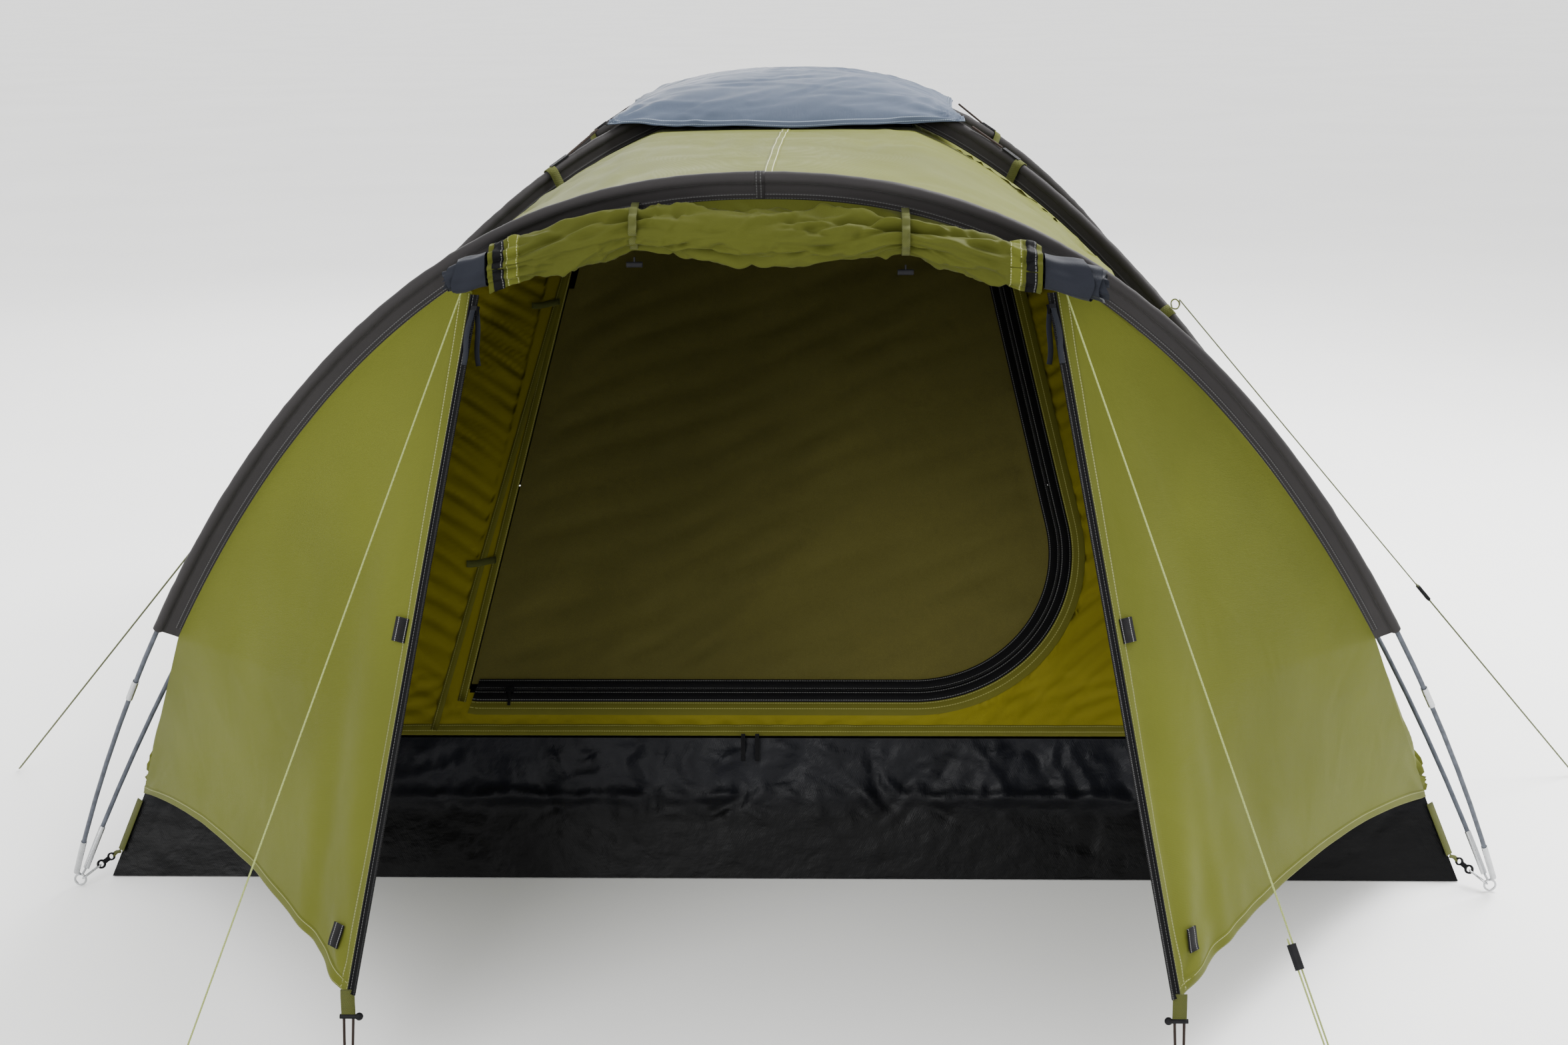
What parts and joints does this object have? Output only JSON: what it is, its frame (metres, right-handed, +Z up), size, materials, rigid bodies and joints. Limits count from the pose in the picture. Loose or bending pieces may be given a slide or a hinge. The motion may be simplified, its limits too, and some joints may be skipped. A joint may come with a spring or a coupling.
{
  "type": "dome tent with porch",
  "caption": "Dome tent on crossed poles with an arched porch, rolled-up door, inner door, groundsheet, top cover and guy lines.",
  "frame": {"origin": "on the ground at the middle of the rectangle of the four pole feet", "axes": "+Z up, +X to the right seen from the porch, -Y out through the porch"},
  "size_m": [3.0026, 3.1039, 1.31],
  "materials": {
    "pole_fibreglass": "smooth satin",
    "steel": "bright plated",
    "shock_cord": "matt",
    "sleeve_cloth": "coated weave",
    "olive_cloth": "coated weave, light sheen",
    "cover_cloth": "coated weave, light sheen",
    "inner_cloth": "thin translucent weave",
    "door_mesh": "fine mesh",
    "groundsheet": "coated polyethylene",
    "olive_webbing": "ribbed webbing",
    "black_webbing": "ribbed webbing",
    "zip_tape": "woven tape",
    "zip_metal": "gloss black",
    "black_plastic": "moulded",
    "elastic": "braided cover",
    "guy_cord": "braided",
    "grey_ribbon": "woven ribbon"
  },
  "bodies": {
    "tent": {"arch_sleeve": "sleeve_cloth", "corner_hooks": "black_plastic", "corner_links": "steel", "corner_rings": "steel", "corner_webbing": "olive_webbing", "cover_elastics": "elastic", "cover_hooks": "black_plastic", "cover_webbing_loops": "olive_webbing", "door_zip_left": "zip_tape", "door_zip_right": "zip_tape", "front_arch_pole": "pole_fibreglass", "front_guy_line_left": "guy_cord", "front_guy_line_right": "guy_cord", "groundsheet": "groundsheet", "guy_rings": "steel", "guy_webbing": "olive_webbing", "hook_and_loop_tabs": "black_webbing", "inner_front_wall": "inner_cloth", "inner_tie_tabs": "black_webbing", "inner_zip_wall_tape": "zip_tape", "left_wall": "olive_cloth", "main_pole_a": "pole_fibreglass", "main_pole_b": "pole_fibreglass", "main_sleeve_a": "sleeve_cloth", "main_sleeve_b": "sleeve_cloth", "pole_foot_ferrules": "steel", "pole_joint_ferrules": "steel", "pole_shock_cords": "shock_cord", "porch_corner_elastic_left": "elastic", "porch_corner_elastic_right": "elastic", "porch_corner_hooks": "black_plastic", "porch_panel_left": "olive_cloth", "porch_panel_right": "olive_cloth", "porch_roof": "olive_cloth", "rear_wall": "olive_cloth", "right_wall": "olive_cloth", "roll_ties": "olive_webbing", "rolled_outer_door": "olive_cloth", "rolled_storm_flap_ends": "grey_ribbon", "roof_vent_mesh": "door_mesh", "side_guy_line_left": "guy_cord", "side_guy_line_right": "guy_cord", "top_cover": "cover_cloth"},
    "inner_door": {"inner_door_panel": "door_mesh", "inner_zip_door_tape": "zip_tape"},
    "inner_slider": {"inner_zip_slider": "zip_metal"},
    "left_slider": {"zip_slider_left": "zip_metal"},
    "right_slider": {"zip_slider_right": "zip_metal"},
    "left_outer_ribbon": {"outer_ribbon_left": "grey_ribbon"},
    "left_inner_ribbon": {"inner_ribbon_left": "grey_ribbon"},
    "right_outer_ribbon": {"outer_ribbon_right": "grey_ribbon"},
    "right_inner_ribbon": {"inner_ribbon_right": "grey_ribbon"},
    "left_sill_strap": {"sill_strap_left": "black_webbing"},
    "right_sill_strap": {"sill_strap_right": "black_webbing"},
    "left_toggle": {"roll_toggle_left": "black_plastic"},
    "right_toggle": {"roll_toggle_right": "black_plastic"},
    "front_left_runner": {"front_guy_runner_left": "black_plastic"},
    "front_right_runner": {"front_guy_runner_right": "black_plastic"},
    "side_left_runner": {"side_guy_runner_left": "black_plastic"},
    "side_right_runner": {"side_guy_runner_right": "black_plastic"}
  },
  "joints": [
    {"name": "inner_door_swing", "type": "hinge", "parent": "tent", "child": "inner_door", "pos_m": [-0.541, -0.88566, 0.29597], "axis": [-0.1705, -0.5853, -0.7927], "range_deg": [0, 18]},
    {"name": "inner_zip_slide", "type": "slide", "parent": "inner_door", "child": "inner_slider", "axis": [1, 0, 0], "range_m": [0, 0.75]},
    {"name": "right_zip_slide", "type": "slide", "parent": "tent", "child": "right_slider", "axis": [0.1675, -0.2888, -0.9426], "range_m": [0, 0.88]},
    {"name": "right_outer_ribbon_swing", "type": "hinge", "parent": "right_slider", "child": "right_outer_ribbon", "pos_m": [0.40603, -1.47932, 1.05684], "axis": [-0.7985, -0.6006, 0.0422], "range_deg": [0, 80]},
    {"name": "right_inner_ribbon_swing", "type": "hinge", "parent": "right_slider", "child": "right_inner_ribbon", "pos_m": [0.40128, -1.4732, 1.05413], "axis": [0.7985, 0.6006, -0.0422], "range_deg": [-8, 50]},
    {"name": "left_zip_slide", "type": "slide", "parent": "tent", "child": "left_slider", "axis": [-0.1675, -0.2888, -0.9426], "range_m": [0, 0.88]},
    {"name": "left_outer_ribbon_swing", "type": "hinge", "parent": "left_slider", "child": "left_outer_ribbon", "pos_m": [-0.40603, -1.47932, 1.05684], "axis": [-0.7985, 0.6006, -0.0422], "range_deg": [0, 80]},
    {"name": "left_inner_ribbon_swing", "type": "hinge", "parent": "left_slider", "child": "left_inner_ribbon", "pos_m": [-0.40128, -1.4732, 1.05413], "axis": [0.7985, -0.6006, 0.0422], "range_deg": [-8, 50]},
    {"name": "left_sill_strap_swing", "type": "hinge", "parent": "tent", "child": "left_sill_strap", "pos_m": [-0.062, -0.94337, 0.238], "axis": [-1, 0, 0], "range_deg": [0, 60]},
    {"name": "right_sill_strap_swing", "type": "hinge", "parent": "tent", "child": "right_sill_strap", "pos_m": [-0.038, -0.94337, 0.238], "axis": [-1, 0, 0], "range_deg": [0, 60]},
    {"name": "left_toggle_swing", "type": "hinge", "parent": "tent", "child": "left_toggle", "pos_m": [-0.172, -1.53, 1.1372], "axis": [1, 0, 0], "range_deg": [-25, 25]},
    {"name": "right_toggle_swing", "type": "hinge", "parent": "tent", "child": "right_toggle", "pos_m": [0.199, -1.53, 1.1252], "axis": [1, 0, 0], "range_deg": [-25, 25]},
    {"name": "front_left_runner_slide", "type": "slide", "parent": "tent", "child": "front_left_runner", "axis": [-0.2921, -0.4506, -0.8436], "range_m": [0, 0.09]},
    {"name": "front_right_runner_slide", "type": "slide", "parent": "tent", "child": "front_right_runner", "axis": [0.2921, -0.4506, -0.8436], "range_m": [0, 0.12]},
    {"name": "side_left_runner_slide", "type": "slide", "parent": "tent", "child": "side_left_runner", "axis": [-0.6468, 0.0962, -0.7566], "range_m": [0, 0.12]},
    {"name": "side_right_runner_slide", "type": "slide", "parent": "tent", "child": "side_right_runner", "axis": [0.6468, 0.0962, -0.7566], "range_m": [0, 0.12]}
  ]
}
